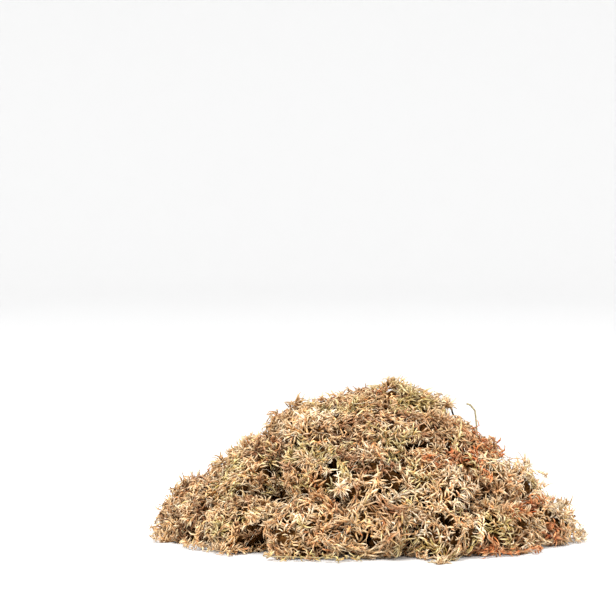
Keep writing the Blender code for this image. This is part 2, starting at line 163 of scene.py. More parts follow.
def leafy_branches(roots, ways, axes, curls, lengths, thickness, tints, rings, draw):
    """Curled branches clad in small overlapping leaves, as corners, faces and tints."""
    count = len(roots)
    shares = np.array([share for share, _ in rings] + [1.0])
    widths = np.array([width for _, width in rings])
    across = unit(np.cross(ways, axes) + draw.normal(size=ways.shape) * BRANCH_TWIST)
    across = unit(across - ways * np.sum(across * ways, axis=1, keepdims=True))
    above = np.cross(ways, across)
    sides = BRANCH_SIDES
    per_branch = len(rings) * sides + 1
    places = np.empty((count, per_branch, 3))
    point = roots.copy()
    for index in range(len(rings)):
        turn = curls * shares[index]
        ring_across, ring_above = turned(across, axes, turn), turned(above, axes, turn)
        for side in range(sides):
            angle = 2.0 * math.pi * (side + 0.5 * (index % 2)) / sides
            reach = thickness * widths[index] * draw.uniform(*LEAF_WIDTH_SPREAD, size=count)
            offset = ring_across * math.cos(angle) + ring_above * math.sin(angle)
            places[:, index * sides + side] = point + offset * reach[:, None]
        step = shares[index + 1] - shares[index]
        middle_way = turned(ways, axes, curls * (shares[index] + 0.5 * step))
        point = point + middle_way * (lengths * step)[:, None]
    places[:, -1] = point
    pattern = [(2, 1, 0)]
    for index in range(len(rings) - 1):
        low, high = index * sides, (index + 1) * sides
        for side in range(sides):
            following = (side + 1) % sides
            if index % 2:
                pattern.append((low + side, high + following, high + side))
                pattern.append((low + side, low + following, high + following))
            else:
                pattern.append((low + side, low + following, high + side))
                pattern.append((low + following, high + following, high + side))
    last = (len(rings) - 1) * sides
    pattern += [(last + side, last + (side + 1) % sides, per_branch - 1) for side in range(sides)]
    faces = np.array(pattern) + (np.arange(count) * per_branch)[:, None, None]
    along = np.append(np.repeat(shares[:-1], sides), 1.0)
    # Towards the root: browner older leaves, and painted shade near the stem
    root_brown_and_shade = 1.0 + ROOT_BROWNING_AND_SHADE * np.clip(1.0 - along / ROOT_SHARE, 0.0, 1.0)
    speckle = draw.uniform(*LEAF_SHADE_SPREAD, size=(count, per_branch, 1))
    shades = tints[:, None] ** root_brown_and_shade[:, None] * speckle
    return places.reshape(-1, 3), faces.reshape(-1, 3), shades.reshape(-1, 3)


def joined(parts):
    """Several sets of corners, faces, tints and finish numbers as one."""
    places, faces, tints, finishes, first = [], [], [], [], 0
    for part_places, part_faces, part_tints, finish in parts:
        places.append(part_places)
        faces.append(part_faces + first)
        tints.append(part_tints)
        finishes.append(np.full(len(part_faces), finish))
        first += len(part_places)
    return np.concatenate(places), np.concatenate(faces), np.concatenate(tints), np.concatenate(finishes)


def make_piece(node, parts, finishes):
    """One mesh from its parts, kept inside the heap's box, that stands for a node."""
    places, faces, tints, finish = joined(parts)
    places[:, 2] = np.abs(places[:, 2])
    places = np.clip(places, np.array(cad_box[0]), np.array(cad_box[1]))
    mesh = bpy.data.meshes.new("moss_" + node)
    mesh.vertices.add(len(places))
    mesh.vertices.foreach_set("co", places.astype(np.float32).ravel())
    mesh.loops.add(len(faces) * 3)
    mesh.loops.foreach_set("vertex_index", faces.astype(np.int32).ravel())
    mesh.polygons.add(len(faces))
    mesh.polygons.foreach_set("loop_start", np.arange(0, len(faces) * 3, 3, dtype=np.int32))
    mesh.polygons.foreach_set("material_index", finish.astype(np.int32))
    mesh.update(calc_edges=True)
    mesh.validate()
    tint = mesh.color_attributes.new("tint", "FLOAT_COLOR", "POINT")
    tint.data.foreach_set("color", np.column_stack((tints, np.ones(len(tints)))).astype(np.float32).ravel())
    mesh.shade_smooth()
    for made in finishes:
        mesh.materials.append(made)
    piece = bpy.data.objects.new("moss_" + node, mesh)
    bpy.context.scene.collection.objects.link(piece)
    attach(piece, "root")
    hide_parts(node)
    return piece


# Mottling of dry moss: detail, where on the noise its shades lie, warmth of the dark one, size and
# strength of the leaf relief, and how far the roughness goes below and above its mean
MOTTLE_DETAIL = 4.0
MOTTLE_ROUGHNESS = 0.6
MOTTLE_SHADES = (0.32, 0.62)
DARK_WARMTH = (1.0, 0.88, 0.78)
LEAVES_PER_MOTTLE = 2.6
RELIEF_STRENGTH = 0.7
ROUGHNESS_SPREAD = (0.12, 0.08)


def moss_finish(name, grain, relief, dark, roughness, gloss):
    """Dry plant matter: its own tint, broken up by mottling and fine leaf relief."""
    made = bpy.data.materials.new(name)
    made.use_nodes = True
    nodes, links = made.node_tree.nodes, made.node_tree.links
    shader = nodes["Principled BSDF"]
    tint = nodes.new("ShaderNodeAttribute")
    tint.attribute_name = "tint"
    place = nodes.new("ShaderNodeTexCoord")
    mottle = nodes.new("ShaderNodeTexNoise")
    mottle.inputs["Scale"].default_value = grain
    mottle.inputs["Detail"].default_value = MOTTLE_DETAIL
    mottle.inputs["Roughness"].default_value = MOTTLE_ROUGHNESS
    links.new(place.outputs["Object"], mottle.inputs["Vector"])
    shades = nodes.new("ShaderNodeValToRGB")
    darkest, lightest = shades.color_ramp.elements
    darkest.position, lightest.position = MOTTLE_SHADES
    darkest.color = (*(dark * share for share in DARK_WARMTH), 1.0)
    lightest.color = (1.0, 1.0, 1.0, 1.0)
    links.new(mottle.outputs["Fac"], shades.inputs["Fac"])
    blend = nodes.new("ShaderNodeMix")
    blend.data_type = "RGBA"
    blend.blend_type = "MULTIPLY"
    blend.inputs["Factor"].default_value = 1.0
    links.new(tint.outputs["Color"], blend.inputs["A"])
    links.new(shades.outputs["Color"], blend.inputs["B"])
    links.new(blend.outputs["Result"], shader.inputs["Base Color"])
    leaves = nodes.new("ShaderNodeTexVoronoi")
    leaves.inputs["Scale"].default_value = grain * LEAVES_PER_MOTTLE
    links.new(place.outputs["Object"], leaves.inputs["Vector"])
    raised = nodes.new("ShaderNodeBump")
    raised.inputs["Strength"].default_value = RELIEF_STRENGTH
    raised.inputs["Distance"].default_value = relief
    links.new(leaves.outputs["Distance"], raised.inputs["Height"])
    links.new(raised.outputs["Normal"], shader.inputs["Normal"])
    dulled = nodes.new("ShaderNodeMapRange")
    dulled.inputs["To Min"].default_value = roughness - ROUGHNESS_SPREAD[0]
    dulled.inputs["To Max"].default_value = min(1.0, roughness + ROUGHNESS_SPREAD[1])
    links.new(mottle.outputs["Fac"], dulled.inputs["Value"])
    links.new(dulled.outputs["Result"], shader.inputs["Roughness"])
    shader.inputs["Specular IOR Level"].default_value = gloss
    return made


matted_fibre = moss_finish(
    "matted_peat_fibre", grain=480.0, relief=0.0014, dark=0.18, roughness=0.92, gloss=0.02
)
leafy_moss = moss_finish(
    "dried_leafy_moss", grain=420.0, relief=0.0005, dark=0.66, roughness=0.72, gloss=0.45
)


def pressed_branches(name, tint, draw):
    """Short branches that lie flat under a tuft, along its floor face."""
    triangles = node_triangles(name)
    flat = triangles[triangles[:, :, 2].max(axis=1) < FLOOR_TOUCH]
    if not len(flat):
        return None
    area = np.linalg.norm(np.cross(flat[:, 1] - flat[:, 0], flat[:, 2] - flat[:, 0]), axis=1)
    count = PRESSED_BRANCHES
    chosen = flat[draw.choice(len(flat), size=count, p=area / area.sum())]
    shares = draw.dirichlet((1.0, 1.0, 1.0), size=count)
    roots = np.einsum("nc,nca->na", shares, chosen)
    roots[:, 2] = draw.uniform(*PRESSED_HEIGHT, size=count)
    turns = draw.uniform(0.0, 2.0 * math.pi, size=count)
    ways = np.column_stack((np.cos(turns), np.sin(turns), np.zeros(count)))
    axes = np.tile((0.0, 0.0, 1.0), (count, 1))
    lengths = draw.uniform(*PRESSED_LENGTH, size=count)
    thickness = draw.uniform(*BRANCH_THICKNESS, size=count)
    tints = np.array(tint) * draw.uniform(*PRESSED_SHADE, size=(count, 1))
    curls = draw.normal(size=count) * PRESSED_CURL
    return leafy_branches(roots, ways, axes, curls, lengths, thickness, tints, LEAF_RINGS, draw)


# Tint of the branches pressed under the inner tufts: brown of older moss, and dark as painted shade under
# the heap
PRESSED_BROWN_AND_SHADE = (0.36, 0.19, 0.08)
INNER_SEED = 700
part_slots = {part["node"]: part["material_slot"] for part in frame["record"]["subparts"]}
inner_tufts = sorted(name for name in frame["nodes"] if name.startswith("tuft_inner"))
for number, name in enumerate(inner_tufts):
    draw = np.random.default_rng(INNER_SEED + number)
    parts = [(*matted_core(name, INNER_KEEP, INNER_ROUGHNESS, draw), 0)]
    pressed = pressed_branches(name, PRESSED_BROWN_AND_SHADE, draw)
    if pressed is not None:
        parts.append((*pressed, 1))
    make_piece(name, parts, [matted_fibre, leafy_moss])

# Outer tufts
# Dried sphagnum strands, torn and tangled: a thin stem with a bunch of leafy branches every few millimetres
# and a small rosette at its tip. They lie along the ridges of their tuft's solid, over a dark matted core,
# cross into the next tufts and fray out of the heap's surface.
TONES = {
    "straw": (0.836, 0.650, 0.418),
    "tan": (0.708, 0.490, 0.284),
    "pale": (0.910, 0.796, 0.612),
    "olive": (0.732, 0.628, 0.348),
    "pink": (0.620, 0.385, 0.215),
    "rust": (0.780, 0.405, 0.190),
    "brown": (0.470, 0.278, 0.132),
}
TONE_MIX = {
    "straw": 0.42, "tan": 0.23, "pale": 0.12, "olive": 0.08, "pink": 0.07, "rust": 0.02, "brown": 0.06,
}
OWN_TONE_SHARE = 0.35

# Small patches of one colour, and pits between strands, where the photograph shows them: place, radius. The
# core in the pits is darkened as painted shade.
PATCHES = {
    "rust": (
        (0.054, -0.096, 0.078, 0.007), (0.065, -0.080, 0.079, 0.008), (0.076, -0.084, 0.075, 0.011),
        (0.088, -0.073, 0.075, 0.010), (0.106, -0.047, 0.080, 0.008), (0.083, -0.094, 0.051, 0.008),
        (0.073, -0.151, 0.013, 0.008), (0.101, -0.132, 0.006, 0.008), (0.030, -0.140, 0.006, 0.007),
        (0.160, -0.082, 0.013, 0.007), (0.145, -0.060, 0.037, 0.006),
    ),
    "pink": (
        (-0.103, -0.102, 0.041, 0.012), (-0.086, -0.050, 0.080, 0.009), (-0.066, -0.092, 0.067, 0.010),
        (-0.077, -0.145, 0.018, 0.010), (-0.143, -0.017, 0.048, 0.012), (-0.095, -0.114, 0.029, 0.010),
        (0.075, -0.037, 0.101, 0.010), (0.061, 0.008, 0.118, 0.008), (0.020, -0.051, 0.111, 0.009),
        (0.002, -0.063, 0.102, 0.010), (-0.030, -0.104, 0.079, 0.010),
    ),
    "olive": (
        (-0.077, -0.056, 0.065, 0.009), (-0.033, -0.113, 0.054, 0.011), (-0.013, -0.038, 0.109, 0.010),
        (-0.119, -0.124, 0.024, 0.010), (0.023, -0.093, 0.085, 0.012), (0.019, -0.005, 0.133, 0.009),
        (0.109, -0.122, 0.024, 0.009),
    ),
    "pale": (
        (0.068, -0.102, 0.063, 0.009), (-0.039, -0.050, 0.103, 0.011), (0.137, -0.035, 0.050, 0.013),
        (0.028, -0.130, 0.045, 0.011), (0.078, -0.115, 0.044, 0.009), (-0.022, -0.102, 0.083, 0.010),
        (-0.054, -0.142, 0.022, 0.010),
    ),
}
PITS = (
    (-0.117, -0.110, 0.029, 0.004), (-0.011, -0.055, 0.094, 0.0045), (-0.057, -0.103, 0.063, 0.004),
    (-0.066, -0.072, 0.078, 0.0035), (-0.024, -0.099, 0.073, 0.004), (-0.041, -0.131, 0.040, 0.0045),
    (-0.058, -0.133, 0.033, 0.004), (-0.005, -0.158, 0.020, 0.004), (0.040, -0.087, 0.083, 0.004),
    (0.020, -0.122, 0.059, 0.005), (0.041, -0.128, 0.040, 0.0045), (0.066, -0.143, 0.030, 0.004),
    (0.092, -0.117, 0.025, 0.004), (0.066, -0.083, 0.068, 0.004), (0.078, -0.113, 0.049, 0.0035),
    (0.066, -0.042, 0.104, 0.003),
)
PIT_DEPTH = 0.012
# Painted shade in the pits: the core's tint there is multiplied by this
PIT_PAINTED_SHADE = 0.25
PIT_HOLLOW = 0.008

# The soft surface round all tufts that the strands lie on, and a softer one; the core stays below both
SKIN_CELL = 0.004
SKIN_SOFTENING = 4
CORE_SOFTENING = 30
UNDERSIDE_FACING = -0.5
RIM_HEIGHT = 0.003
LEAST_RISE = 0.02
CORE_KEEP = 0.98
CORE_ROUGHNESS = 0.0008
CORE_SINK = 0.0040


def heap_skin(softening):
    """One soft surface round all tufts, closed over the gaps between them, without its underside."""
    soup = np.concatenate([node_triangles(name) for name in frame["nodes"] if name.startswith("tuft")])
    mesh = bpy.data.meshes.new("skin")
    mesh.from_pydata(soup.reshape(-1, 3).tolist(), [], np.arange(len(soup) * 3).reshape(-1, 3).tolist())
    shell = bpy.data.objects.new("skin", mesh)
    bpy.context.scene.collection.objects.link(shell)
    remesh = shell.modifiers.new("remesh", "REMESH")
    remesh.mode = "VOXEL"
    remesh.voxel_size = SKIN_CELL
    soften = shell.modifiers.new("soften", "SMOOTH")
    soften.iterations = softening
    evaluated = shell.evaluated_get(bpy.context.evaluated_depsgraph_get())
    made = evaluated.to_mesh()
    corners = [vertex.co.copy() for vertex in made.vertices]
    shown = []
    for face in made.polygons:
        if face.normal.z > UNDERSIDE_FACING or face.center.z > RIM_HEIGHT:
            shown.append(face.vertices[:])
    tree = BVHTree.FromPolygons(corners, shown)
    evaluated.to_mesh_clear()
    bpy.data.objects.remove(shell)
    return tree


skin = heap_skin(SKIN_SOFTENING)
core_skin = heap_skin(CORE_SOFTENING)


def on_skin(places, surface=skin):
    """The nearest points of the skin, and the directions out of the heap there."""
    found = [surface.find_nearest(place)[:2] for place in places.reshape(-1, 3).tolist()]
    points = np.array([point for point, _ in found]).reshape(places.shape)
    out = np.array([normal for _, normal in found]).reshape(places.shape)
    out[..., 2] = np.maximum(out[..., 2], LEAST_RISE)
    return points, unit(out)


def height_over_skin(places):
    """How far places stand out of the skin; negative inside it."""
    points, out = on_skin(places)
    return np.sum((places - points) * out, axis=-1)


def in_spots(places, spots, wider=0.0):
    """Which places lie in one of several round spots, or no farther than that outside it."""
    spots = np.array(spots)
    apart = np.linalg.norm(places[:, None] - spots[:, :3], axis=-1)
    return np.any(apart < spots[:, 3] + wider, axis=1)


# Facets that show: how near the skin they lie, how far they face out, and their least area
SHELL_DEPTH = 0.008
LEAST_FACING = 0.15
LEAST_AREA = 1e-9
RIDGE_TURNS = 24
RIDGE_UPRIGHT = (0.0, 0.31, 0.95)


def outer_face(name):
    """The triangles of a tuft's solid that show, with their areas and normals."""
    triangles = node_triangles(name)
    normals = np.cross(triangles[:, 1] - triangles[:, 0], triangles[:, 2] - triangles[:, 0])
    areas = np.linalg.norm(normals, axis=1) / 2.0
    normals = unit(normals)
    middles = triangles.mean(axis=1)
    points, out = on_skin(middles)
    near = np.linalg.norm(middles - points, axis=1) < SHELL_DEPTH
    shows = near & (np.sum(normals * out, axis=1) > LEAST_FACING) & (areas > LEAST_AREA)
    return triangles[shows], areas[shows], normals[shows]


def ridge_direction(areas, normals, out):
    """Direction of the ridges of a tuft: the one along which its facets turn least."""
    east = unit(np.cross(out, RIDGE_UPRIGHT))
    north = np.cross(out, east)
    turns = np.linspace(0.0, math.pi, RIDGE_TURNS, endpoint=False)[:, None]
    ways = np.cos(turns) * east + np.sin(turns) * north
    facing = normals @ ways.T
    turning = np.average((facing - np.average(facing, axis=0, weights=areas)) ** 2, axis=0, weights=areas)
    return ways[np.argmin(turning)]


STEM_STATIONS = 19
STEM_THICKNESS = 0.00042
STEM_SIDES = 3
STEM_TAPER = 0.6
STEM_UPRIGHT = (0.13, 0.21, 0.97)
STEM_SHADE = 0.7
STEM_WANDER = 0.14
LIFT_POWER = 2.4


def lay_stems(starts, ways, lengths, bends, ride, lifts, draw):
    """Routes of stems that follow the heap's surface, wander and lift off at their tips."""
    routes = np.empty((len(starts), STEM_STATIONS, 3))
    places = starts
    for station in range(STEM_STATIONS):
        along = station / (STEM_STATIONS - 1)
        places, out = on_skin(places)
        ways = unit(ways - out * np.sum(ways * out, axis=1, keepdims=True))
        ways = turned(ways, out, bends / STEM_STATIONS + draw.normal(size=len(starts)) * STEM_WANDER)
        routes[:, station] = places + out * (ride + lifts * along**LIFT_POWER)[:, None]
        places = places + ways * (lengths / (STEM_STATIONS - 1))[:, None]
    smoothed = routes.copy()
    smoothed[:, 1:-1] = 0.25 * routes[:, :-2] + 0.5 * routes[:, 1:-1] + 0.25 * routes[:, 2:]
    smoothed[:, :, 2] = np.maximum(smoothed[:, :, 2], STEM_THICKNESS)
    return smoothed


def stem_tubes(routes, thickness, tints, sides=STEM_SIDES):
    """Thin bare stems along routes."""
    count, stations = routes.shape[:2]
    ways = unit(np.gradient(routes, axis=1))
    across = unit(np.cross(ways, np.array(STEM_UPRIGHT)))
    above = np.cross(ways, across)
    angles = 2.0 * math.pi * np.arange(sides) / sides
    taper = (1.0 - STEM_TAPER * np.linspace(0.0, 1.0, stations))[None, :, None, None] * thickness
    ring = across[:, :, None] * np.cos(angles)[:, None] + above[:, :, None] * np.sin(angles)[:, None]
    places = routes[:, :, None] + ring * taper
    pattern = []
    for station in range(stations - 1):
        for side in range(sides):
            following = (side + 1) % sides
            low, high = station * sides, (station + 1) * sides
            pattern.append((low + side, low + following, high + following))
            pattern.append((low + side, high + following, high + side))
    last = (stations - 1) * sides
    for side in range(1, sides - 1):
        pattern += [(0, side + 1, side), (last, last + side, last + side + 1)]
    faces = np.array(pattern) + (np.arange(count) * stations * sides)[:, None, None]
    shades = np.repeat(tints, stations * sides, axis=0)
    return places.reshape(-1, 3), faces.reshape(-1, 3), shades


# How far the branches of one strand stray from its own lean, side, sweep, curl, root and shade
LEAN_SPREAD = 0.25
SIDE_SPREAD = 0.4
SWEEP_SPREAD = 0.5
CURL_SPREAD = 0.45
ROOT_JITTER = 0.0012
BRANCH_SHADE = (0.74, 1.16)
TONE_BLEND = 0.85


def stem_branches(routes, tints, habit, rings, draw):
    """The bunches of leafy branches along stems; those of a strand sweep and curl the same way."""
    count, stations = routes.shape[:2]
    shape = (count, stations, habit["bunch"], 1)
    per_bunch, per_strand = (count, stations, 1, 1), (count, 1, 1, 1)
    ways = unit(np.gradient(routes, axis=1))
    out = on_skin(routes)[1]
    out = unit(out - ways * np.sum(out * ways, axis=-1, keepdims=True))
    aside = np.cross(ways, out)
    ways, out, aside = ways[:, :, None], out[:, :, None], aside[:, :, None]
    lean = draw.uniform(*habit["lean"], size=per_strand) + draw.normal(size=shape) * LEAN_SPREAD
    side = draw.uniform(-1.0, 1.0, size=per_bunch) * habit["round"] + draw.normal(size=shape) * SIDE_SPREAD
    back = np.where(draw.uniform(size=shape) < habit["hanging"], -1.0, 1.0)
    first = ways * np.cos(lean) * back + (out * np.cos(side) + aside * np.sin(side)) * np.sin(lean)
    first = unit(first).reshape(-1, 3)
    towards = ways * draw.normal(size=per_strand) - out * habit["hug"]
    towards = towards + draw.normal(size=(*shape[:3], 3)) * SWEEP_SPREAD
    axes = unit(np.cross(first, towards.reshape(-1, 3)))
    curls = draw.uniform(*habit["curl"], size=per_strand) + draw.normal(size=shape) * CURL_SPREAD
    size = len(first)
    lengths = draw.uniform(*habit["length"], size=size)
    thickness = draw.uniform(*BRANCH_THICKNESS, size=size) * habit["thickness"]
    tones = np.array(list(TONES.values()))[draw.integers(0, len(TONES), size=size)]
    blend = draw.uniform(0.0, TONE_BLEND, size=(size, 1)) ** 2
    shades = np.repeat(tints, size // count, axis=0)
    tones = tones * shades.mean(axis=1, keepdims=True) / np.mean(list(TONES.values()))
    shades = (shades * (1.0 - blend) + tones * blend) * draw.uniform(*BRANCH_SHADE, size=(size, 1))
    roots = np.repeat(routes[:, :, None], habit["bunch"], axis=2).reshape(-1, 3)
    roots = roots + draw.normal(size=roots.shape) * ROOT_JITTER
    return leafy_branches(roots, first, axes, curls.reshape(-1), lengths, thickness, shades, rings, draw)


BUD_LENGTH = (0.0026, 0.0050)
BUD_LEAN = (0.3, 2.0)
BUD_CURL = (0.8, 2.6)
BUD_THICKNESS = 1.1
BUD_SHADE = (0.75, 1.1)
BUD_WARMTH = (0.95, 0.86, 0.80)


def tip_rosettes(routes, tints, habit, draw):
    """The small bunched head of short branches at each stem's tip."""
    petals = habit["rosette"]
    ends = routes[:, -1]
    ways = unit(routes[:, -1] - routes[:, -3])
    size = len(ends) * petals
    ends, ways = np.repeat(ends, petals, axis=0), np.repeat(ways, petals, axis=0)
    across = unit(np.cross(ways, draw.normal(size=ways.shape)))
    lean = draw.uniform(*BUD_LEAN, size=size)[:, None]
    first = unit(ways * np.cos(lean) + across * np.sin(lean))
    axes = unit(np.cross(first, ways + draw.normal(size=ways.shape) * SWEEP_SPREAD))
    curls = draw.uniform(*BUD_CURL, size=size)
    lengths = draw.uniform(*BUD_LENGTH, size=size)
    thickness = draw.uniform(*BRANCH_THICKNESS, size=size) * BUD_THICKNESS
    shades = np.repeat(tints, petals, axis=0) * draw.uniform(*BUD_SHADE, size=(size, 1))
    return leafy_branches(ends, first, axes, curls, lengths, thickness, shades, BUD_RINGS, draw)


# Habits of growth: strands in a tuft of mean size, stem lengths, how far stems stray from the ridges and
# bend, their height over the skin and the lift of their tips; then branches in a bunch, their lean from the
# stem, how far round it they stand, their hug to the heap, share that hangs back, curl, length, thickness
# and the branches of a rosette. Angles are in radians.
TANGLED = {
    "strands": 17, "stem": (0.022, 0.042), "stray": 0.45, "bend": 1.4, "ride": (-0.0010, 0.0012),
    "lift": (0.0, 0.006), "bunch": 2, "lean": (0.35, 1.35), "round": 1.8, "hug": 0.9, "hanging": 0.30,
    "curl": (0.6, 3.4), "length": (0.0066, 0.0122), "thickness": 1.0, "rosette": 8,
}
UNDERLAY = {
    "strands": 8, "stem": (0.030, 0.046), "stray": 0.8, "bend": 1.2, "ride": (-0.0036, -0.0020),
    "lift": (0.0, 0.001), "bunch": 2, "lean": (0.4, 1.2), "round": 1.6, "hug": 0.5, "hanging": 0.35,
    "curl": (0.3, 2.2), "length": (0.009, 0.014), "thickness": 1.25,
}
FILLING = TANGLED | {"stem": (0.010, 0.016), "lift": (0.0, 0.002), "ride": (-0.0014, 0.0002)}
FIBRES = {
    "strands": 4, "stem": (0.018, 0.036), "stray": 1.2, "bend": 2.5, "ride": (0.001, 0.003),
    "lift": (0.0, 0.006),
}
FIBRE_THICKNESS = 0.00022
STRAND_SHADE = (0.86, 1.10)

# How a strand's place is chosen: how many are tried, how far back each starts, and how far it looks
CANDIDATES = 10
START_BACK = (0.2, 0.7)
COMPARED_STATION = 6
NEARBY = 0.055
BARE_ENOUGH = 0.008

# Where short strands fill in, and what is left out because it is too deep to be seen or out of the box
FILLING_STRIDE = 3
BARE_SAMPLES = 500
BARE_GAP = 0.0033
SPOT_SPACING = 0.0060
DEEPEST_SEEN = 0.0055
OVER_BOX = 0.0012
# Painted shade on the lower strands under the upper ones: their tint is raised to this power and dimmed
UNDERLAY_SHADE_POWER = 1.5
UNDERLAY_PAINTED_SHADE = 0.95
laid_stems = {"underlay": [], "upper": [], "fibres": []}
grown = []


def choose_stems(face, heading, habit, count, layer, draw):
    """Stems of a tuft, one after another, each the one of several that best fills a bare place."""
    triangles, areas, _ = face
    middle = np.average(triangles.mean(axis=1), axis=0, weights=areas)
    laid = []
    for route in laid_stems[layer]:
        if np.linalg.norm(route[COMPARED_STATION] - middle) < NEARBY:
            laid.append(route)
    chosen = []
    for _ in range(max(count, 1)):
        picked = triangles[draw.choice(len(areas), size=CANDIDATES, p=areas / areas.sum())]
        starts = np.einsum("nc,nca->na", draw.dirichlet((1.0, 1.0, 1.0), size=CANDIDATES), picked)
        flip = np.where(draw.uniform(size=CANDIDATES) < 0.5, -1.0, 1.0)
        stray = draw.normal(size=CANDIDATES) * habit["stray"]
        ways = turned(heading * flip[:, None], on_skin(starts)[1], stray)
        lengths = draw.uniform(*habit["stem"], size=CANDIDATES)
        starts = starts - ways * (lengths * draw.uniform(*START_BACK, size=CANDIDATES))[:, None]
        bends = draw.normal(size=CANDIDATES) * habit["bend"]
        ride = draw.uniform(*habit["ride"], size=CANDIDATES)
        lifts = draw.uniform(*habit["lift"], size=CANDIDATES)
        routes = lay_stems(starts, ways, lengths, bends, ride, lifts, draw)
        best = 0
        if laid:
            apart = np.linalg.norm(routes[:, :, None] - np.concatenate(laid), axis=-1).min(axis=-1)
            best = int(np.argmax(np.minimum(apart, BARE_ENOUGH).mean(axis=1)))
        laid.append(routes[best])
        laid_stems[layer].append(routes[best])
        chosen.append(routes[best])
    return np.array(chosen)


def bare_spots(face, draw):
    """Places of a tuft's face that no branch lies near yet, a little apart from each other."""
    triangles, areas, _ = face
    picked = triangles[draw.choice(len(areas), size=BARE_SAMPLES, p=areas / areas.sum())].mean(axis=1)
    samples = on_skin(picked)[0]
    samples = samples[~in_spots(samples, PITS, BARE_GAP)]
    middle = samples.mean(axis=0)
    near = np.concatenate(grown)
    near = near[np.linalg.norm(near - middle, axis=1) < NEARBY]
    spots = []
    for sample in samples:
        if np.min(np.sum((near - sample) ** 2, axis=1)) < BARE_GAP**2:
            continue
        if all(np.linalg.norm(spot - sample) > SPOT_SPACING for spot in spots):
            spots.append(sample)
    return np.array(spots).reshape(-1, 3)


def filling_stems(face, draw):
    """Short strands over the places of a tuft that the others leave bare."""
    spots = bare_spots(face, draw)
    size = len(spots)
    out = on_skin(spots)[1]
    ways = unit(np.cross(out, draw.normal(size=(size, 3))))
    lengths = draw.uniform(*FILLING["stem"], size=size)
    ride, lifts = draw.uniform(*FILLING["ride"], size=size), draw.uniform(*FILLING["lift"], size=size)
    bends = draw.normal(size=size) * FILLING["bend"]
    starts = spots - ways * lengths[:, None] / 2.0
    return lay_stems(starts, ways, lengths, bends, ride, lifts, draw)[:, ::FILLING_STRIDE]


def strand_tints(routes, own_tone, own_share, draw):
    """A tint for each strand: its patch's tone, the tuft's own or one of the heap's others."""
    names = list(TONE_MIX)
    shares = np.array([TONE_MIX[name] for name in names])
    tones = []
    for route in routes:
        name = names[draw.choice(len(names), p=shares / shares.sum())]
        if draw.uniform() < own_share:
            name = own_tone
        middle = route[len(route) // 2 - 1 : len(route) // 2 + 2]
        for patch_tone, spots in PATCHES.items():
            if in_spots(middle, spots).any():
                name = patch_tone
        tones.append(TONES[name])
    return np.array(tones) * draw.uniform(*STRAND_SHADE, size=(len(routes), 1))


def branches_that_show(branches, rings, covers=True):
    """Branches without those over a dark pit, those too deep to be seen and those out of the heap's box.

    Those that cover the heap are noted, so that bare places are known.
    """
    places, faces, tints = branches
    per_branch = len(rings) * BRANCH_SIDES + 1
    places, tints = places.reshape(-1, per_branch, 3), tints.reshape(-1, per_branch, 3)
    pattern = faces[: len(faces) // len(places)]
    middles, tips = places[:, per_branch // 2], places[:, -1]
    middle_height, tip_height = height_over_skin(middles), height_over_skin(tips)
    in_pit = in_spots(middles, PITS) & (middle_height > -PIT_DEPTH)
    shows = np.maximum(middle_height, tip_height) > -DEEPEST_SEEN
    over = np.abs(places) - np.max(np.abs(np.array(cad_box)), axis=0)
    kept = shows & ~in_pit & (over.max(axis=(1, 2)) < OVER_BOX)
    places, tints = places[kept], tints[kept]
    if covers:
        grown.extend((places[:, 0], places[:, per_branch // 2], places[:, -1]))
    faces = pattern + (np.arange(len(places)) * per_branch)[:, None, None]
    return places.reshape(-1, 3), faces.reshape(-1, 3), tints.reshape(-1, 3)


def sunken_core(name, draw):
    """The matted core of an outer tuft, kept below the strands, sunk farther at the pits and darkened there
    as painted shade.
    """
    places, faces, tints = matted_core(name, CORE_KEEP, CORE_ROUGHNESS, draw)
    in_pit = in_spots(places, PITS, PIT_HOLLOW)
    sink = CORE_SINK + PIT_DEPTH * in_pit
    flat = places[:, 2] < FLOOR_TOUCH
    for surface in (core_skin, skin, core_skin, skin):
        points, out = on_skin(places, surface)
        too_high = np.maximum(np.sum((places - points) * out, axis=1) + sink, 0.0)
        places = places - out * too_high[:, None]
    places[:, 2] = np.where(flat, 0.0, np.maximum(places[:, 2], 0.0))
    # The core is darkened in the pits as painted shade
    return places, faces, tints * np.where(in_pit, PIT_PAINTED_SHADE, 1.0)[:, None]


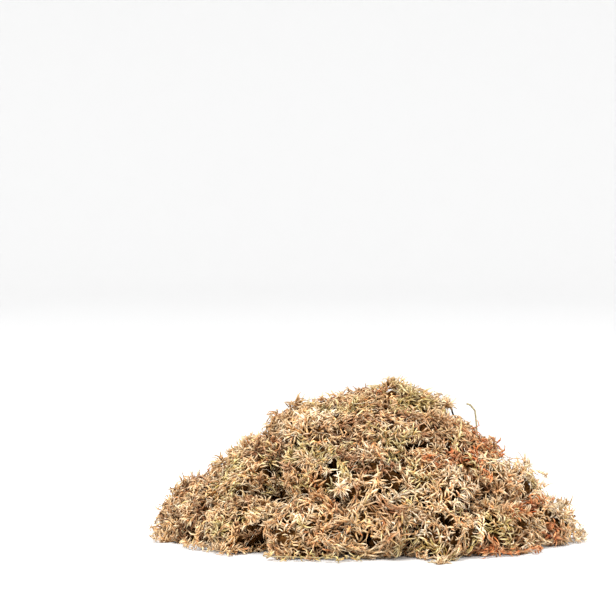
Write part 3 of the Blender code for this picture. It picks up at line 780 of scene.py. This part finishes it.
def grow_tuft(name, habit, own_tone, own_share, seed):
    """A tuft's core, its lower strands darkened as painted shade, its upper ones and a few bare fibres, in
    one piece.
    """
    draw = np.random.default_rng(seed)
    face = outer_faces[name]
    middle = np.average(face[0].mean(axis=1), axis=0, weights=face[1])
    heading = ridge_direction(face[1], face[2], on_skin(middle[None])[1][0])
    size = face[1].sum() / mean_area
    parts = [(*sunken_core(name, draw), 0)]
    routes = choose_stems(face, heading, UNDERLAY, round(UNDERLAY["strands"] * size), "underlay", draw)
    # Painted shade on the lower strands
    tints = strand_tints(routes, own_tone, own_share, draw) ** UNDERLAY_SHADE_POWER * UNDERLAY_PAINTED_SHADE
    branches = stem_branches(routes, tints, UNDERLAY, LEAF_RINGS, draw)
    parts.append((*branches_that_show(branches, LEAF_RINGS, covers=False), 1))
    routes = choose_stems(face, heading, habit, round(habit["strands"] * size), "upper", draw)
    tints = strand_tints(routes, own_tone, own_share, draw)
    parts.append((*stem_tubes(routes[:, ::2], STEM_THICKNESS, tints * STEM_SHADE), 1))
    branches = stem_branches(routes, tints, habit, LEAF_RINGS, draw)
    parts.append((*branches_that_show(branches, LEAF_RINGS), 1))
    heads = tip_rosettes(routes, tints * BUD_WARMTH, habit, draw)
    parts.append((*branches_that_show(heads, BUD_RINGS), 1))
    routes = filling_stems(face, draw)
    if len(routes):
        tints = strand_tints(routes, own_tone, own_share, draw)
        branches = stem_branches(routes, tints, FILLING, LEAF_RINGS, draw)
        parts.append((*branches_that_show(branches, LEAF_RINGS), 1))
    routes = choose_stems(face, heading, FIBRES, round(FIBRES["strands"] * size), "fibres", draw)
    tints = np.tile(TONES["pale"], (len(routes), 1))
    parts.append((*stem_tubes(routes[:, ::2], FIBRE_THICKNESS, tints), 1))
    return make_piece(name, parts, [matted_fibre, leafy_moss])


tufts = sorted(name for name in frame["nodes"] if name.startswith("tuft"))
outer_tufts = [name for name in tufts if name not in inner_tufts]
outer_faces = {name: outer_face(name) for name in outer_tufts}
mean_area = sum(areas.sum() for _, areas, _ in outer_faces.values()) / len(outer_tufts)
standing_out = (
    "tuft_combed_front", "tuft_rust_right", "tuft_pale_right", "tuft_olive_left", "tuft_ball_left",
)
OUTER_SEED = 100
for number, name in enumerate(name for name in outer_tufts if name not in standing_out):
    own_tone = part_slots[name].removeprefix("moss_")
    grow_tuft(name, TANGLED, own_tone, OWN_TONE_SHARE, OUTER_SEED + number)

# Tufts that stand out
# Single clumps of the same moss: one hangs in long combed branches, one is patched with orange-red, one pale
# and spiky, one yellow-green and one rolled up like a ball. Each grows like the others, with its own habit.
COMBED = TANGLED | {
    "strands": 18, "stray": 0.10, "bend": 0.3, "lean": (0.10, 0.45), "hanging": 0.15, "curl": (0.2, 0.9),
    "length": (0.011, 0.017),
}
SPIKY = TANGLED | {
    "lift": (0.002, 0.011), "lean": (0.5, 1.3), "hanging": 0.1, "curl": (0.0, 0.7), "thickness": 0.72,
    "rosette": 9,
}
ROLLED = TANGLED | {"stem": (0.022, 0.034), "bend": 2.4, "curl": (1.6, 3.4), "lift": (0.0, 0.003)}
grow_tuft("tuft_combed_front", COMBED, own_tone="straw", own_share=0.75, seed=201)
grow_tuft("tuft_rust_right", TANGLED, own_tone="rust", own_share=0.10, seed=202)
grow_tuft("tuft_pale_right", SPIKY, own_tone="pale", own_share=0.90, seed=203)
grow_tuft("tuft_olive_left", TANGLED, own_tone="olive", own_share=0.50, seed=204)
grow_tuft("tuft_ball_left", ROLLED, own_tone="straw", own_share=0.70, seed=205)

# Loose strands
# Single leafy strands that slid down and lie on the slope, or on the floor against the heap's foot.
# Each has its stem along the middle of its solid, with branches all round and a rosette at its tip.
LOOSE = TANGLED | {
    "bunch": 4, "lean": (0.35, 1.05), "round": 3.1, "hanging": 0.2, "curl": (0.3, 1.6),
    "length": (0.0055, 0.0085), "thickness": 0.9,
}
STRAND_SEED = 300
ROUTE_SLICES = 14
SLICE_SPREAD = 0.6


def middle_line(name):
    """Line through the middle of a long thin solid, from one end to the other."""
    places, faces = welded_mesh(name)
    apart = np.linalg.norm(places[:, None] - places, axis=-1)
    start = int(np.unravel_index(np.argmax(apart), apart.shape)[0])
    reach = np.full(len(places), np.inf)
    reach[start] = 0.0
    sides = faces[:, [0, 1, 1, 2, 2, 0]].reshape(-1, 2)
    lengths = np.linalg.norm(places[sides[:, 0]] - places[sides[:, 1]], axis=1)
    for _ in range(len(places)):
        before = reach.copy()
        np.minimum.at(reach, sides[:, 1], reach[sides[:, 0]] + lengths)
        np.minimum.at(reach, sides[:, 0], reach[sides[:, 1]] + lengths)
        if np.array_equal(before, reach):
            break
    shares = np.linspace(0.0, reach.max(), ROUTE_SLICES)
    width = shares[1] - shares[0]
    line = []
    for share in shares:
        weights = np.exp(-((reach - share) / (SLICE_SPREAD * width)) ** 2)
        line.append(np.average(places, axis=0, weights=weights))
    return np.array(line)


loose_strands = sorted(name for name in frame["nodes"] if name.startswith("strand"))
for number, name in enumerate(loose_strands):
    draw = np.random.default_rng(STRAND_SEED + number)
    routes = middle_line(name)[None]
    tint = np.array(TONES[part_slots[name].removeprefix("moss_")])[None]
    parts = [(*stem_tubes(routes, STEM_THICKNESS, tint * STEM_SHADE), 0)]
    parts.append((*stem_branches(routes, tint, LOOSE, LEAF_RINGS, draw), 0))
    parts.append((*tip_rosettes(routes, tint, LOOSE, draw), 0))
    make_piece(name, parts, [leafy_moss])

# Dark twig and hooked stem
# Two bare plant stems caught in the moss: a short dark twig near the top, and a thin one that stands out of
# the right slope and ends in a hook. Both are tubes along the middle of their solids, ridged like bark.
TWIG_BARK = (0.060, 0.042, 0.030)
TWIG_THICKNESS = 0.0012
HOOK_BARK = (0.420, 0.360, 0.200)
HOOK_THICKNESS = 0.0009
TWIG_SIDES = 9
bark = moss_finish("ridged_bark", grain=700.0, relief=0.0003, dark=0.40, roughness=0.80, gloss=0.25)
bare_stems = (("twig_dark", TWIG_BARK, TWIG_THICKNESS), ("stem_hooked", HOOK_BARK, HOOK_THICKNESS))
for name, tint, thickness in bare_stems:
    routes = middle_line(name)[None]
    parts = [(*stem_tubes(routes, thickness, np.array(tint)[None], TWIG_SIDES), 0)]
    make_piece(name, parts, [bark])

# Floor and backdrop
# A plain pale sheet, as in a studio, that the heap lies on. It is flat in the middle and bends up all round
# in one soft curve, so that no edge shows behind the heap from any side.
FLAT_RADIUS = 3.6
SWEEP_RADIUS = 1.6
SWEEP_HEIGHT = 3.0
SWEEP_STEPS = 12
SWEEP_SIDES = 96
FLOOR_TINT = (0.72, 0.72, 0.72)
FLOOR_ROUGHNESS = 0.6
FLOOR_DROP = 0.0002


def pale_sweep():
    """The floor and backdrop in one round sheet, a hair below the heap."""
    profile = [(0.0, 0.0), (FLAT_RADIUS, 0.0)]
    for step in range(1, SWEEP_STEPS + 1):
        turn = math.pi / 2.0 * step / SWEEP_STEPS
        profile.append((FLAT_RADIUS + SWEEP_RADIUS * math.sin(turn), SWEEP_RADIUS * (1.0 - math.cos(turn))))
    profile.append((FLAT_RADIUS + SWEEP_RADIUS, SWEEP_HEIGHT))
    places, faces = [], []
    for radius, height in profile:
        for side in range(SWEEP_SIDES):
            turn = 2.0 * math.pi * side / SWEEP_SIDES
            places.append((radius * math.cos(turn), radius * math.sin(turn), height))
    for ring in range(len(profile) - 1):
        for side in range(SWEEP_SIDES):
            following = (side + 1) % SWEEP_SIDES
            low, high = ring * SWEEP_SIDES, (ring + 1) * SWEEP_SIDES
            faces.append((low + side, high + side, high + following, low + following))
    mesh = bpy.data.meshes.new("floor")
    mesh.from_pydata(places, [], faces)
    mesh.shade_smooth()
    finish = bpy.data.materials.new("pale_floor")
    finish.use_nodes = True
    shader = finish.node_tree.nodes["Principled BSDF"]
    shader.inputs["Base Color"].default_value = (*FLOOR_TINT, 1.0)
    shader.inputs["Roughness"].default_value = FLOOR_ROUGHNESS
    mesh.materials.append(finish)
    floor = bpy.data.objects.new("floor", mesh)
    floor.location.z = -FLOOR_DROP
    bpy.context.scene.collection.objects.link(floor)


pale_sweep()

# Light and camera
# Soft white light from all round, a broad lamp above the front and a weaker one from the right.
# The camera looks at the heap from about nine degrees above it, where the photograph was taken from.
WORLD_STRENGTH = 1.45

# Lamps: name, place, size, watts
LAMPS = (
    ("key", (-0.7, -1.1, 1.7), 0.8, 50.0),
    ("fill", (1.2, -0.8, 1.1), 1.2, 14.0),
)

# The camera turns until the heap's origin falls on its pixel of the photograph
CAMERA_DISTANCE = 2.112
CAMERA_ELEVATION = math.radians(8.8)
PICTURE_SIDE = 616
FOCAL_PIXELS = 2400.0
HEAP_PIXEL = (366.0, 530.5)
SENSOR_WIDTH = 36.0

world = bpy.data.worlds.new("studio")
world.use_nodes = True
world.node_tree.nodes["Background"].inputs["Color"].default_value = (1.0, 1.0, 1.0, 1.0)
world.node_tree.nodes["Background"].inputs["Strength"].default_value = WORLD_STRENGTH
bpy.context.scene.world = world
bpy.context.scene.view_settings.view_transform = "Standard"
for lamp_name, place, size, energy in LAMPS:
    lamp = bpy.data.lights.new(lamp_name, "AREA")
    lamp.size = size
    lamp.energy = energy
    lamp_object = bpy.data.objects.new(lamp_name, lamp)
    lamp_object.location = place
    lamp_object.rotation_euler = (-Vector(place)).to_track_quat("-Z", "Y").to_euler()
    bpy.context.scene.collection.objects.link(lamp_object)

camera_place = Vector((0.0, -math.cos(CAMERA_ELEVATION), math.sin(CAMERA_ELEVATION))) * CAMERA_DISTANCE
right = (HEAP_PIXEL[0] - PICTURE_SIDE / 2.0) / FOCAL_PIXELS
up = (PICTURE_SIDE / 2.0 - HEAP_PIXEL[1]) / FOCAL_PIXELS
ray_length = math.sqrt(right**2 + up**2 + 1.0)
pitch = math.asin(-math.sin(CAMERA_ELEVATION) * ray_length / math.hypot(up, 1.0)) - math.atan2(up, 1.0)
ahead = math.cos(pitch) - up * math.sin(pitch)
yaw = math.atan2(right, ahead)
camera = bpy.data.cameras.new("camera")
camera.sensor_width = SENSOR_WIDTH
camera.lens = FOCAL_PIXELS / PICTURE_SIDE * SENSOR_WIDTH
camera_object = bpy.data.objects.new("camera", camera)
camera_object.location = camera_place
camera_object.rotation_euler = (math.pi / 2.0 + pitch, 0.0, yaw)
bpy.context.scene.collection.objects.link(camera_object)
bpy.context.scene.camera = camera_object
